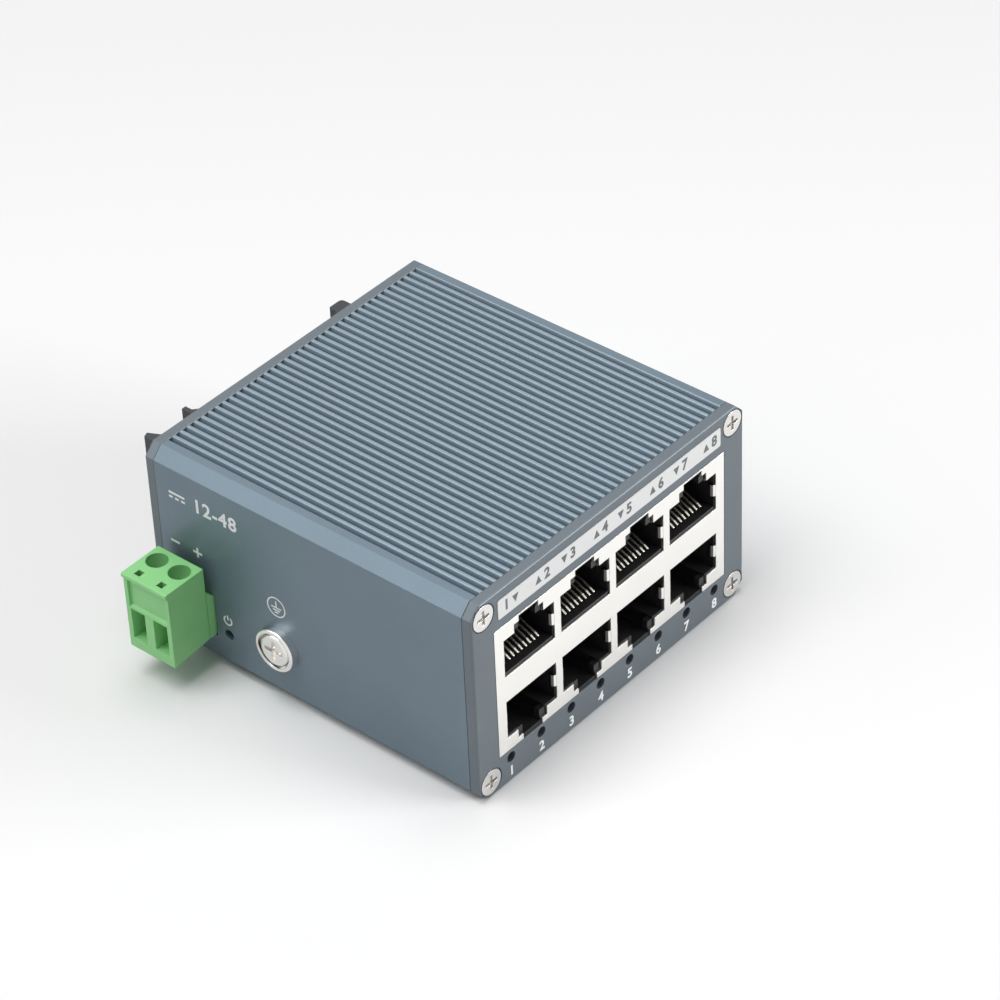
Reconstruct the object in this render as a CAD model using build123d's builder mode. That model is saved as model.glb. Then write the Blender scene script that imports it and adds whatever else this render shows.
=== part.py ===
"""Rail-mounted industrial ethernet switch: eight stacked ports, ribbed metal case, plug-in power terminal.

Millimetres. +Z is up, with the case lying on one ribbed face. The ports look along -Y, the power
terminal along -X and the rail clip along +Y. The origin is the middle of the case's underside.
"""

from build123d import *

import os

# Case
case_margin = 5.2
case_height = 40.0
case_depth = 70.0
plate_thickness = 2.0
plate_edge = 0.4
plate_seam = 0.12
edge_chamfer = 2.1
side_wall = 2.0
floor_wall = 2.4

# Cooling ribs on the top and bottom
rib_pitch = 1.683
rib_depth = 0.95
rib_crest = 0.6
rib_toe = 0.3
rib_rounding = 0.3
rib_root_rounding = 0.2
rib_margin = 4.0

# Corner screws of both end plates
screw_inset_x = 2.9
screw_inset_z = 3.0
screw_radius = 1.3
screw_clearance = 0.05
screw_head_radius = 2.35
screw_head_land = 0.35
screw_ring_gap = 0.27
screw_length = 9.0
cross_length = 2.8
cross_width = 0.62
cross_depth = 0.9

# Circuit board
board_bottom = 5.0
board_thickness = 1.6
board_side_gap = 0.3
board_rear_gap = 0.5
board_rest_gap = 0.02
board_top_gap = 0.05
ledge_height = 1.0
ledge_width = 1.2

# Stacked port block
port_columns = 4
port_pitch = 13.97
port_width = 12.4
port_height = 7.5
port_step_width = 7.2
port_step_height = 9.2
port_notch_width = 4.8
port_notch_height = 10.3
port_band = 5.1
ports_mid = 19.35
shield_margin = 2.145
shield_top = 32.46
shield_depth = 27.0
shield_sheet = 0.25
shield_gap = 0.15
finger_low = 2.7
finger_height = 2.3
finger_reach = 0.55
finger_length = 1.4
finger_sheet = 0.18
insert_set_back = 0.35
insert_depth = 14.5
insert_gap = 0.1
cavity_inset = 0.2
cavity_floor = 0.5
cavity_depth = 12.4
cavity_shelf = 0.4
catch_width = 1.3
catch_height = 1.3
catch_length = 1.2
contact_count = 8
contact_pitch = 1.016
contact_width = 0.36
contact_thickness = 0.25
contact_rise = 1.15
contact_end = 7.0
contact_height = 4.25
upper_tail = 20.5
lower_tail = 17.5
tail_length = 1.2
tail_hole_radius = 0.36
peg_radius = 1.4
peg_spacing = 44.0
peg_set_back = 8.0
peg_length = 2.2
tab_width = 1.6
tab_length = 2.4
tab_places = (6.0, 22.0)
fit_gap = 0.1

# Lamps beside the ports and beside the terminal
lamp_count = 8
lamp_pitch = 7.59
lamp_height = 4.9
lamp_hole_radius = 1.0
lamp_radius = 0.9
lamp_length = 3.0
lamp_tip_gap = 0.2
lamp_lead = 0.4
lamp_lead_spacing = 1.27
lamp_lead_length = 2.2
power_lamp_from_rear = 15.8
power_lamp_rise = 1.3
power_lamp_block = 2.6

# Printed strip over the ports
label_margin = 1.05
label_height = 3.75
label_drop = 3.71
label_thickness = 0.12

# Power terminal: a header on the board and the plug in it
pole_pitch = 5.08
poles = 2
plug_from_rear = 7.7
header_height = 8.2
header_length = 12.0
header_proud = 1.5
header_wall = 0.9
header_cheek = 0.5
header_cavity = 8.5
header_nib = 1.5
notch_gap = 0.3
nose_gap = 0.1
nose_length = 8.0
pin_size = 1.0
pin_height = 4.0
pin_set_back = 1.5
pin_leg_from_rear = 1.3
pin_tail = 1.6
plug_top = 21.4
plug_reach = 10.06
plug_foot = 5.75
plug_lip = 0.45
plug_lip_height = 0.8
panel_top = 19.9
panel_foot = 14.9
panel_depth = 0.5
panel_rim = 0.8
screw_shaft_reach = 4.5
screw_shaft_radius = 1.95
clamp_head_height = 1.6
clamp_head_radius = 1.85
clamp_seat = 16.8
clamp_screw_radius = 1.3
clamp_thread_gap = 0.06
clamp_slot_width = 0.7
clamp_slot_depth = 0.8
probe_reach = 8.7
probe_size = 1.3
probe_depth = 5.0
entry_width = 3.15
entry_foot = 7.85
entry_top = 14.05
entry_throat_width = 2.7
entry_throat_height = 3.9
cage_length = 4.6
cage_width = 3.8
cage_height = 6.8
cage_roof = 1.2
cage_floor = 0.8
cage_side = 0.5
cage_foot = 7.0
cage_travel = 2.0
cage_gap = 0.1
contact_bar = 0.6
contact_leaf = 0.35
contact_strip_width = 2.4
leaf_pin_gap = 0.06

# Earth screw on the terminal side
ground_from_rear = 27.5
ground_height = 11.4
ground_screw_radius = 2.0
ground_head_radius = 3.1
ground_head_height = 1.15
ground_head_round = 0.6
ground_recess = 0.9
ground_cross_length = 3.9
ground_cross_width = 0.8
ground_washer_radius = 4.1
ground_washer_thickness = 0.45
ground_cup_radius = 3.4
ground_cup_height = 1.6
ground_cup_round = 0.3
ground_nut_flats = 7.0
ground_nut_height = 3.2
ground_shank = 7.0

# Rail clip behind the case: fixed bracket and sprung latch
rail_width = 35.0
rail_flange = 1.0
rail_room = 0.3
clip_width = 24.0
clip_face = 3.2
clip_reach = 10.0
hook_wall = 24.2
hook_tip = 20.0
hook_crown = 21.0
hook_pocket = 22.2
hook_round = 0.8
hook_lip = 1.2
lip_ramp = 2.8
bracket_end = -9.5
latch_face_drop = 0.2
latch_end = -25.4
latch_clearance = 0.15
latch_travel = 3.0
latch_hook_wall = -16.0
latch_hook_sheet = 0.9
latch_lip = 3.4
pull_land = 1.0
pull_slope = 1.6
pull_foot = 3.2
tongue_width = 11.6
tongue_thickness = 1.8
tongue_end = 11.0
channel_depth = 2.1
channel_end = 13.5
window_left = -6.1
window_right = 8.1
window_width = 3.0
stop_width = 1.5
spring_radius = 1.2
spring_wire = 0.35
spring_pitch = 1.55
spring_room = 0.15
clip_screws = ((-3.0, -9.0), (-3.0, 9.0), (17.0, 0.0))
clip_screw_length = 5.0
driver_slot = (3.0, 8.0)

# Parts on the board: sizes are (width, depth, height), places are (x, distance from the rear face)
transformer_gap = 1.4
transformer_depth = 8.0
transformer_height = 6.0
transformer_room = 1.0
chip_size = (14.0, 14.0, 1.4)
chip_place = (6.0, 20.0)
inductor_size = (10.0, 10.0, 5.0)
inductor_place = (-13.0, 21.5)
capacitor_radius = 4.0
capacitor_height = 11.5
capacitor_groove = 0.35
capacitor_places = ((-13.0, 9.5), (-3.5, 9.5))
regulator_size = (5.0, 4.0, 1.5)
regulator_place = (-1.5, 22.0)
diode_size = (4.6, 3.6, 2.3)
diode_places = ((-20.0, 6.0), (-20.0, 11.5))
crystal_size = (11.4, 4.6, 3.4)
crystal_place = (22.0, 22.0)
ceramic_size = (2.0, 1.25, 1.25)
ceramic_places = ((13.0, 14.0), (13.0, 11.0), (17.0, 14.0), (17.0, 11.0), (21.0, 14.0), (21.0, 11.0))

# Edges and heights worked out from the sizes above
shield_width = (port_columns - 1) * port_pitch + port_width + 2 * shield_margin
case_width = shield_width + 2 * case_margin
label_width = shield_width - 2 * label_margin
label_mid = case_height - label_drop
left = -case_width / 2
right = case_width / 2
front = -case_depth / 2
rear = case_depth / 2
sleeve_front = front + plate_thickness
sleeve_rear = rear - plate_thickness
sleeve_length = sleeve_rear - sleeve_front
mid_height = case_height / 2
board_top = board_bottom + board_thickness
board_half = case_width / 2 - side_wall - board_side_gap
board_front = sleeve_front + lamp_tip_gap + lamp_length + lamp_tip_gap
board_rear = sleeve_rear - board_rear_gap
boss_radius = board_bottom - board_rest_gap - screw_inset_z
corner_spacing_x = case_width - 2 * screw_inset_x
corner_spacing_z = case_height - 2 * screw_inset_z
window_foot = board_top - shield_gap
window_top = shield_top + shield_gap
port_places = [(i - (port_columns - 1) / 2) * port_pitch for i in range(port_columns)]
lamp_places = [(i - (lamp_count - 1) / 2) * lamp_pitch for i in range(lamp_count)]
upper_base = ports_mid + port_band / 2
lower_base = ports_mid - port_band / 2
contact_places = [(i - (contact_count - 1) / 2) * contact_pitch for i in range(contact_count)]
plug_y = rear - plug_from_rear
plug_width = poles * pole_pitch
pole_places = [plug_y + (i - (poles - 1) / 2) * pole_pitch for i in range(poles)]
ground_y = rear - ground_from_rear
power_lamp_y = rear - power_lamp_from_rear
header_mouth = left - header_proud
header_top = board_top + header_height
header_rear = header_mouth + header_length
plug_face = left - plug_reach
plug_inner = header_mouth - nose_gap
shaft_x = left - screw_shaft_reach
pin_z = board_top + pin_height
rail_face = rear + clip_face
hook_top = rear + clip_reach
lip_foot = rail_face + rail_flange + rail_room
groove_reach = int((case_width / 2 - rib_margin) / rib_pitch)
top_grooves = [i * rib_pitch for i in range(-groove_reach, groove_reach + 1)]
floor_grooves = [(i + 0.5) * rib_pitch for i in range(-groove_reach, groove_reach)]


def facing_front(y):
    """Plane at depth y whose drawing has X to the right and Z up, looking along +Y."""
    return Plane.XZ.offset(-y)


def facing_rear(y):
    """Plane at depth y with its normal along +Y, X to the left and Z up."""
    return Plane(origin=(0, y, 0), x_dir=(-1, 0, 0), z_dir=(0, 1, 0))


def facing_side(x):
    """Plane at x whose drawing has Y to the right and Z up."""
    return Plane.YZ.offset(x)


def strip_outline(path, thickness):
    """Corners of a flat strip of even thickness that follows a path, with mitred bends."""
    near, far = [], []
    points = [Vector(*point) for point in path]
    for i, point in enumerate(points):
        before = (point - points[i - 1]).normalized() if i > 0 else None
        after = (points[i + 1] - point).normalized() if i < len(points) - 1 else None
        ahead = after if before is None else before
        back = before if after is None else after
        normal = (Vector(-ahead.Y, ahead.X) + Vector(-back.Y, back.X)).normalized()
        reach = thickness / 2 / normal.dot(Vector(-ahead.Y, ahead.X))
        near.append(point + normal * reach)
        far.append(point - normal * reach)
    return [(p.X, p.Y) for p in near + far[::-1]]


def on_board(place):
    """Point on the board, from its x and its distance in front of the rear face."""
    return (place[0], rear - place[1])


def block(low, high):
    """Solid box between two corners."""
    size = [b - a for a, b in zip(low, high)]
    middle = [(a + b) / 2 for a, b in zip(low, high)]
    return Pos(*middle) * Box(*size, mode=Mode.PRIVATE)


def cross_recess(length, width, depth):
    """Cross-shaped driver recess, cut down from Z = 0."""
    one_arm = Box(length, width, depth, mode=Mode.PRIVATE)
    other_arm = Box(width, length, depth, mode=Mode.PRIVATE)
    return Pos(0, 0, -depth / 2) * (one_arm + other_arm)


def countersunk_screw(length):
    """Flat-head screw with its head's face at Z = 0 and its shank along -Z."""
    cone_foot = -screw_head_land - (screw_head_radius - screw_radius)
    with BuildPart() as screw:
        with BuildSketch(Plane.XZ):
            with BuildLine():
                Polyline(
                    (0, 0),
                    (screw_head_radius, 0),
                    (screw_head_radius, -screw_head_land),
                    (screw_radius, cone_foot),
                    (screw_radius, -length),
                    (0, -length),
                    close=True,
                )
            make_face()
        revolve(axis=Axis.Z)
        add(cross_recess(cross_length, cross_width, cross_depth), mode=Mode.SUBTRACT)
    return screw.part


def screw_seat(reach):
    """Cutter for a flat head's countersink, with a ring gap round the head and a through hole."""
    hole_radius = screw_radius + screw_clearance
    gap_radius = screw_head_radius + screw_ring_gap
    with BuildPart() as seat:
        with BuildSketch(Plane.XZ):
            with BuildLine():
                Polyline(
                    (0, screw_head_land),
                    (gap_radius, screw_head_land),
                    (gap_radius, -screw_head_land),
                    (screw_head_radius, -screw_head_land),
                    (hole_radius, -screw_head_land - (screw_head_radius - hole_radius)),
                    (hole_radius, -reach),
                    (0, -reach),
                    close=True,
                )
            make_face()
        revolve(axis=Axis.Z)
    return seat.part


def port_outline(inset, floor, notch_extra):
    """Stepped port opening with its base edge at Y = 0 and the latch notch up."""
    half_port = port_width / 2 - inset
    half_step = port_step_width / 2 - inset
    half_notch = port_notch_width / 2 - inset
    side = [
        (half_port, floor),
        (half_port, port_height - inset),
        (half_step, port_height - inset),
        (half_step, port_step_height - inset),
        (half_notch, port_step_height - inset),
        (half_notch, port_notch_height - inset + notch_extra),
    ]
    with BuildSketch() as outline:
        with BuildLine():
            Polyline(*side, *[(-x, y) for x, y in side[::-1]], close=True)
        make_face()
    return outline.sketch


# Outline of the case, shared by the sleeve and both end plates
with BuildSketch() as case_outline:
    with Locations((0, mid_height)):
        Rectangle(case_width, case_height)
    chamfer(case_outline.vertices(), edge_chamfer)

# One groove between two ribs, cut down from the crests
groove_half = (rib_pitch - rib_crest) / 2
groove_edge = groove_half + rib_rounding
with BuildSketch() as rib_groove:
    with BuildLine():
        Polyline(
            (-groove_edge, rib_depth),
            (-groove_edge, 0),
            (-groove_half, 0),
            (-rib_toe / 2, -rib_depth),
            (rib_toe / 2, -rib_depth),
            (groove_half, 0),
            (groove_edge, 0),
            (groove_edge, rib_depth),
            close=True,
        )
    make_face()
    fillet(rib_groove.vertices().group_by(Axis.Y)[0], rib_root_rounding)
    at_crest = rib_groove.vertices().group_by(Axis.Y)[-2].sort_by(Axis.X)
    fillet(at_crest[1:-1], rib_rounding)

# Extruded sleeve with ribs, screw channels, board ledges and the side openings
inner_half = case_width / 2 - side_wall
with BuildPart() as housing:
    with BuildSketch(facing_front(sleeve_front)):
        add(case_outline.sketch)
        with Locations(*[(x, case_height) for x in top_grooves]):
            add(rib_groove.sketch, mode=Mode.SUBTRACT)
        with Locations(*[(x, 0) for x in floor_grooves]):
            add(rib_groove.sketch, rotation=180, mode=Mode.SUBTRACT)
        with Locations((0, mid_height)):
            Rectangle(2 * inner_half, case_height - 2 * floor_wall, mode=Mode.SUBTRACT)
            with GridLocations(corner_spacing_x, corner_spacing_z, 2, 2):
                Circle(boss_radius)
        ledge_z = board_top + board_top_gap + ledge_height / 2
        ledge_x = inner_half - ledge_width / 2
        with Locations((-ledge_x, ledge_z), (ledge_x, ledge_z)):
            Rectangle(ledge_width, ledge_height)
        with Locations((0, mid_height)):
            with GridLocations(corner_spacing_x, corner_spacing_z, 2, 2):
                Circle(screw_radius + screw_clearance, mode=Mode.SUBTRACT)
    extrude(amount=-sleeve_length)
    with BuildSketch(facing_side(left)):
        with Locations((ground_y, ground_height)):
            Circle(ground_screw_radius + screw_clearance)
        with Locations((power_lamp_y, board_top + power_lamp_rise)):
            Circle(lamp_hole_radius)
    extrude(amount=side_wall, mode=Mode.SUBTRACT)
    with BuildSketch(facing_side(left)):
        notch_low = plug_y - plug_width / 2 - notch_gap
        notch_size = (sleeve_rear - notch_low, header_height + 2 * notch_gap)
        with Locations((notch_low, board_top - notch_gap)):
            Rectangle(*notch_size, align=(Align.MIN, Align.MIN))
    extrude(amount=side_wall + ledge_width, mode=Mode.SUBTRACT)

# Front plate with the port window, lamp holes and countersunk corners
front_face = Plane(origin=(0, front, mid_height), x_dir=(1, 0, 0), z_dir=(0, -1, 0))
rear_face = Plane(origin=(0, rear, mid_height), x_dir=(-1, 0, 0), z_dir=(0, 1, 0))
plate_seat = screw_seat(2 * plate_thickness)
with BuildPart() as front_plate:
    with BuildSketch(facing_front(front)):
        add(case_outline.sketch)
        with Locations((0, (window_foot + window_top) / 2)):
            Rectangle(shield_width + 2 * shield_gap, window_top - window_foot, mode=Mode.SUBTRACT)
        with Locations(*[(x, lamp_height) for x in lamp_places]):
            Circle(lamp_hole_radius, mode=Mode.SUBTRACT)
    extrude(amount=-plate_thickness)
    fillet(front_plate.faces().sort_by(Axis.Y)[0].outer_wire().edges(), plate_edge)
    chamfer(front_plate.faces().sort_by(Axis.Y)[-1].outer_wire().edges(), plate_seam)
    with Locations(front_face):
        with GridLocations(corner_spacing_x, corner_spacing_z, 2, 2):
            add(plate_seat, mode=Mode.SUBTRACT)

# Rear plate, which also carries the rail bracket's screws
with BuildPart() as rear_plate:
    with BuildSketch(facing_front(sleeve_rear)):
        add(case_outline.sketch)
        with Locations(*[(x, mid_height + z) for x, z in clip_screws]):
            Circle(screw_radius + screw_clearance, mode=Mode.SUBTRACT)
    extrude(amount=-plate_thickness)
    fillet(rear_plate.faces().sort_by(Axis.Y)[-1].outer_wire().edges(), plate_edge)
    chamfer(rear_plate.faces().sort_by(Axis.Y)[0].outer_wire().edges(), plate_seam)
    with Locations(rear_face):
        with GridLocations(corner_spacing_x, corner_spacing_z, 2, 2):
            add(plate_seat, mode=Mode.SUBTRACT)

# Corner screws: four in each plate, driven into the sleeve's channels
corner_screw = countersunk_screw(screw_length)
with BuildPart() as front_plate_screws:
    with Locations(front_face):
        with GridLocations(corner_spacing_x, corner_spacing_z, 2, 2):
            add(corner_screw)

with BuildPart() as rear_plate_screws:
    with Locations(rear_face):
        with GridLocations(corner_spacing_x, corner_spacing_z, 2, 2):
            add(corner_screw)

# Adhesive strip that numbers the ports
with BuildPart() as port_label:
    with BuildSketch(facing_front(front)):
        with Locations((0, label_mid)):
            RectangleRounded(label_width, label_height, label_thickness * 3)
    extrude(amount=label_thickness)

# Folded metal shield round the stacked ports, with its side fingers and board tabs
half_shield = shield_width / 2
with BuildPart() as jack_shield:
    add(block((-half_shield, front, board_top), (half_shield, front + shield_depth, shield_top)))
    add(
        block(
            (-half_shield + shield_sheet, front + shield_sheet, board_top),
            (half_shield - shield_sheet, front + shield_depth - shield_sheet, shield_top - shield_sheet),
        ),
        mode=Mode.SUBTRACT,
    )
    with BuildSketch(facing_front(front)):
        with Locations(*[(x, upper_base) for x in port_places]):
            add(port_outline(0, 0, 0))
        with Locations(*[(x, lower_base) for x in port_places]):
            add(port_outline(0, 0, 0), rotation=180)
    extrude(amount=-shield_sheet, mode=Mode.SUBTRACT)
    finger_path = [
        (0, shield_sheet / 2),
        (finger_reach * 0.6, finger_length * 0.25),
        (finger_reach, finger_length * 0.5),
        (finger_reach * 0.7, finger_length),
    ]
    half_port = port_width / 2
    for finger_foot in (upper_base + finger_low, lower_base - finger_low - finger_height):
        with BuildSketch(Plane.XY.offset(finger_foot)):
            for x in port_places:
                for hand in (-1, 1):
                    leaf = [(x + hand * (half_port - u), front + v) for u, v in finger_path]
                    with BuildLine():
                        Polyline(*strip_outline(leaf, finger_sheet), close=True)
                    make_face()
        extrude(amount=finger_height)
    for tab_y in tab_places:
        for hand in (-1, 1):
            tab_x = sorted((hand * half_shield, hand * (half_shield - shield_sheet)))
            add(
                block(
                    (tab_x[0], front + tab_y, board_top - tab_length),
                    (tab_x[1], front + tab_y + tab_width, board_top + tab_width),
                )
            )

# Moulded insert with the eight plug cavities
insert_half = half_shield - shield_sheet - insert_gap
insert_front = front + insert_set_back
insert_rear = insert_front + insert_depth
insert_top = shield_top - shield_sheet - insert_gap
half_catch = port_step_width / 2 - cavity_inset
slot_width = (contact_count - 1) * contact_pitch + contact_width + 2 * fit_gap
slot_low = cavity_floor
slot_high = contact_rise + contact_thickness / 2 + fit_gap
cavity_outline = port_outline(cavity_inset, cavity_floor, -cavity_shelf)
with BuildPart() as jack_insert:
    add(block((-insert_half, insert_front, board_top), (insert_half, insert_rear, insert_top)))
    with BuildSketch(facing_front(insert_front)):
        with Locations(*[(x, upper_base) for x in port_places]):
            add(cavity_outline)
        with Locations(*[(x, lower_base) for x in port_places]):
            add(cavity_outline, rotation=180)
    extrude(amount=-cavity_depth, mode=Mode.SUBTRACT)
    for x in port_places:
        for relief_foot in (upper_base + finger_low, lower_base - finger_low - finger_height):
            relief_size = (port_width, finger_length / 2, finger_height + 2 * fit_gap)
            relief_low = (x - port_width / 2, insert_front, relief_foot - fit_gap)
            relief_high = [low + size for low, size in zip(relief_low, relief_size)]
            add(block(relief_low, relief_high), mode=Mode.SUBTRACT)
        catch_low = port_height + fit_gap
        for hand in (-1, 1):
            catch_sides = sorted((hand * half_catch, hand * (half_catch - catch_width)))
            for base, up in ((upper_base, 1), (lower_base, -1)):
                catch_ends = sorted((base + up * catch_low, base + up * (catch_low + catch_height)))
                add(
                    block(
                        (x + catch_sides[0], insert_front + fit_gap, catch_ends[0]),
                        (x + catch_sides[1], insert_front + catch_length, catch_ends[1]),
                    )
                )
        for low, high in (
            (upper_base + slot_low, upper_base + slot_high),
            (lower_base - slot_high, lower_base - slot_low),
        ):
            add(
                block(
                    (x - slot_width / 2, insert_front + cavity_depth, low),
                    (x + slot_width / 2, insert_rear, high),
                ),
                mode=Mode.SUBTRACT,
            )
    with BuildSketch(Plane.XY.offset(board_top)):
        with Locations((0, front + peg_set_back)):
            with GridLocations(peg_spacing, 1, 2, 1):
                Circle(peg_radius)
    extrude(amount=-peg_length)


def port_contacts(base, up, tail):
    """Spring contacts of one row of ports: free ends in the cavities, tails through the board."""
    path = [
        (front + contact_end, base + up * contact_height),
        (front + 2.0, base + up * (contact_rise + 0.8)),
        (front + 1.4, base + up * (contact_rise + 0.4)),
        (front + 2.0, base + up * contact_rise),
        (front + tail, base + up * contact_rise),
        (front + tail, board_bottom - tail_length),
    ]
    with BuildPart() as wires:
        for x in port_places:
            for offset_x in contact_places:
                with BuildSketch(facing_side(x + offset_x - contact_width / 2)):
                    with BuildLine():
                        Polyline(*strip_outline(path, contact_thickness), close=True)
                    make_face()
                extrude(amount=contact_width)
    return wires


upper_port_contacts = port_contacts(upper_base, 1, upper_tail)
lower_port_contacts = port_contacts(lower_base, -1, lower_tail)

# Circuit board with the holes that its parts stand in
header_pin_x = header_rear - pin_leg_from_rear
with BuildPart() as main_board:
    with BuildSketch(Plane.XY.offset(board_bottom)):
        with Locations((0, (board_front + board_rear) / 2)):
            Rectangle(2 * board_half, board_rear - board_front)
        with Locations((0, front + peg_set_back)):
            with GridLocations(peg_spacing, 1, 2, 1):
                Circle(peg_radius + fit_gap, mode=Mode.SUBTRACT)
        tails = [
            (x + offset_x, front + tail)
            for x in port_places
            for offset_x in contact_places
            for tail in (upper_tail, lower_tail)
        ]
        with Locations(*tails):
            Circle(tail_hole_radius, mode=Mode.SUBTRACT)
        tabs = [
            (hand * (half_shield - shield_sheet / 2), front + tab_y + tab_width / 2)
            for hand in (-1, 1)
            for tab_y in tab_places
        ]
        with Locations(*tabs):
            Rectangle(shield_sheet + 4 * fit_gap, tab_width + 2 * fit_gap, mode=Mode.SUBTRACT)
        with Locations(*[(header_pin_x, y) for y in pole_places]):
            Circle(pin_size * 0.71 + fit_gap, mode=Mode.SUBTRACT)
    extrude(amount=board_thickness)

# Port lamps: clear bodies just behind the front plate, leads under the board
lamp_back = sleeve_front + lamp_tip_gap + lamp_length
lead_top = board_bottom
with BuildPart() as port_lamps:
    for x in lamp_places:
        with BuildSketch(facing_front(lamp_back)):
            with Locations((x, lamp_height)):
                Circle(lamp_radius)
        extrude(amount=lamp_length - lamp_radius)
        with BuildSketch(Plane.XY.offset(lamp_height)):
            with BuildLine():
                tip = (x, lamp_back - lamp_length)
                shoulder = (x + lamp_radius, tip[1] + lamp_radius)
                RadiusArc(shoulder, tip, lamp_radius)
                Polyline(tip, (x, shoulder[1]), shoulder)
            make_face()
        revolve(axis=Axis((x, 0, lamp_height), (0, 1, 0)))
        for side in (-1, 1):
            lead_x = x + side * lamp_lead_spacing / 2
            add(
                block(
                    (lead_x - lamp_lead / 2, lamp_back, lead_top - lamp_lead),
                    (lead_x + lamp_lead / 2, board_front + lamp_lead_length, lead_top),
                )
            )

# Power lamp: side-looking body on the board, lens towards its hole
power_lamp_z = board_top + power_lamp_rise
power_lamp_x = left + side_wall + ledge_width + lamp_tip_gap
power_lamp_top = board_top + power_lamp_block
with BuildPart() as power_lamp:
    add(
        block(
            (power_lamp_x, power_lamp_y - power_lamp_block / 2, board_top),
            (power_lamp_x + power_lamp_block, power_lamp_y + power_lamp_block / 2, power_lamp_top),
        )
    )
    with BuildSketch(facing_side(power_lamp_x)):
        with Locations((power_lamp_y, power_lamp_z)):
            Circle(lamp_radius * 0.5)
    extrude(amount=-lamp_tip_gap)

# Switch chip under the board and the soft pad that joins it to the case floor
chip_x, chip_y = on_board(chip_place)
chip_foot = board_bottom - chip_size[2]
with BuildPart() as switch_chip:
    add(
        block(
            (chip_x - chip_size[0] / 2, chip_y - chip_size[1] / 2, chip_foot),
            (chip_x + chip_size[0] / 2, chip_y + chip_size[1] / 2, board_bottom),
        )
    )
    chamfer(switch_chip.edges().filter_by(Axis.Z), ceramic_size[1] / 4)

with BuildPart() as thermal_pad:
    add(
        block(
            (chip_x - chip_size[0] / 2, chip_y - chip_size[1] / 2, floor_wall),
            (chip_x + chip_size[0] / 2, chip_y + chip_size[1] / 2, chip_foot),
        )
    )

# Isolating transformers in a row behind the port block
with BuildPart() as port_transformers:
    with BuildSketch(Plane.XY.offset(board_top)):
        with Locations((0, front + shield_depth + transformer_room + transformer_depth / 2)):
            with GridLocations(port_pitch, 1, port_columns, 1):
                Rectangle(port_pitch - transformer_gap, transformer_depth)
    extrude(amount=transformer_height)
    chamfer(port_transformers.faces().sort_by(Axis.Z)[-1].edges(), 0.4)

# Power converter: choke, two can capacitors, regulator and input diodes
with BuildPart() as buck_inductor:
    with BuildSketch(Plane.XY.offset(board_top)):
        with Locations(on_board(inductor_place)):
            Rectangle(inductor_size[0], inductor_size[1])
    extrude(amount=inductor_size[2])
    chamfer(buck_inductor.edges().filter_by(Axis.Z), inductor_size[2] * 0.3)

with BuildPart() as input_capacitors:
    for place in [on_board(place) for place in capacitor_places]:
        with BuildSketch(Plane.XY.offset(board_top)):
            with Locations(place):
                Circle(capacitor_radius)
        extrude(amount=capacitor_height)
        with BuildSketch(Plane.XY.offset(board_top + capacitor_radius * 0.4)):
            with Locations(place):
                Circle(capacitor_radius)
                Circle(capacitor_radius - capacitor_groove, mode=Mode.SUBTRACT)
        extrude(amount=2 * capacitor_groove, mode=Mode.SUBTRACT)
        with BuildSketch(Plane.XY.offset(board_top + capacitor_height)):
            with Locations(place):
                Rectangle(capacitor_radius * 1.2, capacitor_groove)
                Rectangle(capacitor_groove, capacitor_radius * 1.2)
        extrude(amount=-capacitor_groove, mode=Mode.SUBTRACT)

with BuildPart() as buck_regulator:
    lead_width, lead_reach = 0.4, 1.0
    with BuildSketch(Plane.XY.offset(board_top)):
        with Locations(on_board(regulator_place)):
            Rectangle(regulator_size[0], regulator_size[1])
            with GridLocations(1.27, 0, 4, 1):
                Rectangle(lead_width, regulator_size[1] + 2 * lead_reach)
    extrude(amount=lead_width / 2)
    with BuildSketch(Plane.XY.offset(board_top + lead_width / 2)):
        with Locations(on_board(regulator_place)):
            Rectangle(regulator_size[0], regulator_size[1])
    extrude(amount=regulator_size[2] - lead_width / 2)

with BuildPart() as input_diodes:
    with BuildSketch(Plane.XY.offset(board_top)):
        with Locations(*[on_board(place) for place in diode_places]):
            Rectangle(diode_size[0], diode_size[1])
    extrude(amount=diode_size[2])

with BuildPart() as clock_crystal:
    with BuildSketch(Plane.XY.offset(board_top)):
        with Locations(on_board(crystal_place)):
            SlotOverall(crystal_size[0], crystal_size[1])
    extrude(amount=crystal_size[2])

with BuildPart() as ceramic_capacitors:
    with BuildSketch(Plane.XY.offset(board_top)):
        with Locations(*[on_board(place) for place in ceramic_places]):
            Rectangle(ceramic_size[0], ceramic_size[1])
    extrude(amount=ceramic_size[2])

# Terminal header on the board: its mouth stands out through the notch in the sleeve
header_low = plug_y - plug_width / 2
header_high = plug_y + plug_width / 2
pin_slot = pin_size + 2 * fit_gap
with BuildPart() as terminal_header:
    add(block((header_mouth, header_low, board_top), (header_rear, header_high, header_top)))
    with BuildSketch(facing_front(header_high)):
        with BuildLine():
            Polyline(
                (header_mouth, header_top),
                (header_mouth + header_nib, header_top),
                (header_mouth, header_top + header_nib),
                close=True,
            )
        make_face()
    extrude(amount=plug_width)
    add(
        block(
            (header_mouth, header_low + header_cheek, board_top + header_wall),
            (header_mouth + header_cavity, header_high - header_cheek, header_top - header_wall),
        ),
        mode=Mode.SUBTRACT,
    )
    for y in pole_places:
        add(
            block(
                (header_mouth + header_cavity, y - pin_slot / 2, pin_z - pin_slot / 2),
                (header_rear, y + pin_slot / 2, pin_z + pin_slot / 2),
            ),
            mode=Mode.SUBTRACT,
        )
        add(
            block(
                (header_pin_x - pin_slot / 2, y - pin_slot / 2, board_top),
                (header_rear, y + pin_slot / 2, pin_z),
            ),
            mode=Mode.SUBTRACT,
        )

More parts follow.
